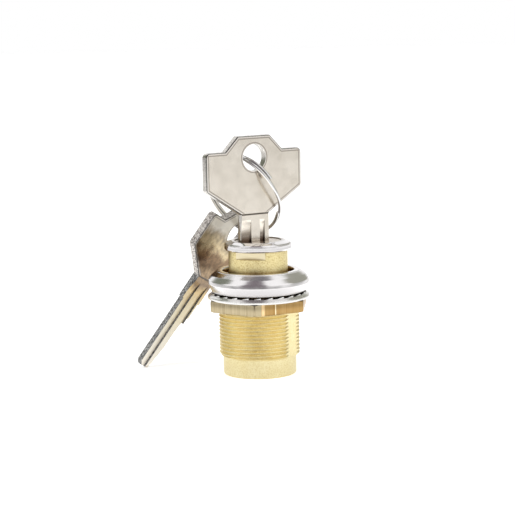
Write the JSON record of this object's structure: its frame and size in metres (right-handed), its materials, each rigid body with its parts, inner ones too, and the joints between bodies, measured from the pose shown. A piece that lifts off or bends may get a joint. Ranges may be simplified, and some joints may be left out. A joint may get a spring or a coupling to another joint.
{
  "type": "cabinet lock",
  "caption": "Push-type cabinet cam lock with threaded barrel, bezel, washer and nut, a key in its sprung plunger and a spare key on a split ring.",
  "frame": {"origin": "on the lock's axis, in the plane of the bezel flange's underside, where the door's outer face sits", "axes": "+Z out of the door towards the key, +X to the right and +Y away from the picture's camera"},
  "size_m": [0.0479, 0.0408, 0.065],
  "materials": {
    "brass_barrel": "turned and threaded, satin",
    "brass_nut": "milled, satin",
    "plunger_brass": "turned, dull",
    "chrome": "polished",
    "core_zinc": "die-cast, plated",
    "washer_steel": "zinc plated",
    "key_nickel": "nickel plated, stamped",
    "ring_steel": "nickel plated wire",
    "steel_pin": "ground",
    "spring_steel": "drawn wire",
    "wafer_brass": "stamped"
  },
  "bodies": {
    "housing": {"barrel": "brass_barrel", "bezel_ring": "chrome", "guide_pin": "steel_pin", "return_spring": "spring_steel"},
    "washer_body": {"lock_washer": "washer_steel"},
    "nut_body": {"hex_nut": "brass_nut"},
    "plunger_body": {"plunger": "plunger_brass", "face_cap": "chrome", "bolt_pin": "steel_pin", "latch_spring": "spring_steel"},
    "core_body": {"core": "core_zinc", "wafer_springs": "spring_steel"},
    "latch_body": {"latch_pawl": "steel_pin"},
    "key_body": {"main_key": "key_nickel"},
    "ring_body": {"key_ring": "ring_steel"},
    "spare_body": {"spare_key": "key_nickel"},
    "wafer_body_1": {"wafer_1": "wafer_brass"},
    "wafer_body_2": {"wafer_2": "wafer_brass"},
    "wafer_body_3": {"wafer_3": "wafer_brass"},
    "wafer_body_4": {"wafer_4": "wafer_brass"},
    "wafer_body_5": {"wafer_5": "wafer_brass"},
    "wafer_body_6": {"wafer_6": "wafer_brass"}
  },
  "joints": [
    {"name": "nut_travel", "type": "slide", "parent": "housing", "child": "washer_body", "axis": [0, 0, -1], "range_m": [0, 0.016]},
    {"name": "nut_turn", "type": "hinge", "parent": "washer_body", "child": "nut_body", "pos_m": [0, 0, 0], "axis": [0, 0, -1], "range_deg": [0, 5760]},
    {"name": "plunger_slide", "type": "slide", "parent": "housing", "child": "plunger_body", "axis": [0, 0, -1], "range_m": [0, 0.007], "stiffness_N_per_m": 500, "springref_m": -0.006, "deforming": ["return_spring"]},
    {"name": "core_turn", "type": "hinge", "parent": "plunger_body", "child": "core_body", "pos_m": [0, 0, 0], "axis": [0, 0, 1], "range_deg": [0, 90]},
    {"name": "latch_slide", "type": "slide", "parent": "plunger_body", "child": "latch_body", "axis": [-0.5, -0.866, 0], "range_m": [0, 0.0013], "deforming": ["latch_spring"]},
    {"name": "key_pull", "type": "slide", "parent": "core_body", "child": "key_body", "axis": [0, 0, 1], "range_m": [0, 0.03], "deforming": ["wafer_springs"]},
    {"name": "ring_spin", "type": "hinge", "parent": "key_body", "child": "ring_body", "pos_m": [-0.0037, 0.00596, 0.0258], "axis": [-0.56, -0.7297, -0.3923], "continuous": true},
    {"name": "spare_swing", "type": "hinge", "parent": "key_body", "child": "spare_body", "pos_m": [-0.0066, 0.01362, 0.01408], "axis": [-0.6965, 0.5771, 0.4265], "range_deg": [0, 45]},
    {"name": "wafer_drop_1", "type": "slide", "parent": "core_body", "child": "wafer_body_1", "axis": [-0.848, -0.5299, 0], "range_m": [0, 0.0009]},
    {"name": "wafer_drop_2", "type": "slide", "parent": "core_body", "child": "wafer_body_2", "axis": [-0.848, -0.5299, 0], "range_m": [0, 0.0009]},
    {"name": "wafer_drop_3", "type": "slide", "parent": "core_body", "child": "wafer_body_3", "axis": [-0.848, -0.5299, 0], "range_m": [0, 0.0009]},
    {"name": "wafer_drop_4", "type": "slide", "parent": "core_body", "child": "wafer_body_4", "axis": [-0.848, -0.5299, 0], "range_m": [0, 0.0009]},
    {"name": "wafer_drop_5", "type": "slide", "parent": "core_body", "child": "wafer_body_5", "axis": [-0.848, -0.5299, 0], "range_m": [0, 0.0009]},
    {"name": "wafer_drop_6", "type": "slide", "parent": "core_body", "child": "wafer_body_6", "axis": [-0.848, -0.5299, 0], "range_m": [0, 0.0009]}
  ],
  "couplings": [
    {"joint": "nut_travel", "follows": "nut_turn", "m_per_rad": 0.00015915},
    {"joint": "latch_slide", "follows": "core_turn", "m_per_rad": 0.00082761},
    {"joint": "wafer_drop_1", "follows": "key_pull", "ratio": 0.03},
    {"joint": "wafer_drop_2", "follows": "key_pull", "ratio": 0.03},
    {"joint": "wafer_drop_3", "follows": "key_pull", "ratio": 0.03},
    {"joint": "wafer_drop_4", "follows": "key_pull", "ratio": 0.03},
    {"joint": "wafer_drop_5", "follows": "key_pull", "ratio": 0.03},
    {"joint": "wafer_drop_6", "follows": "key_pull", "ratio": 0.03}
  ]
}
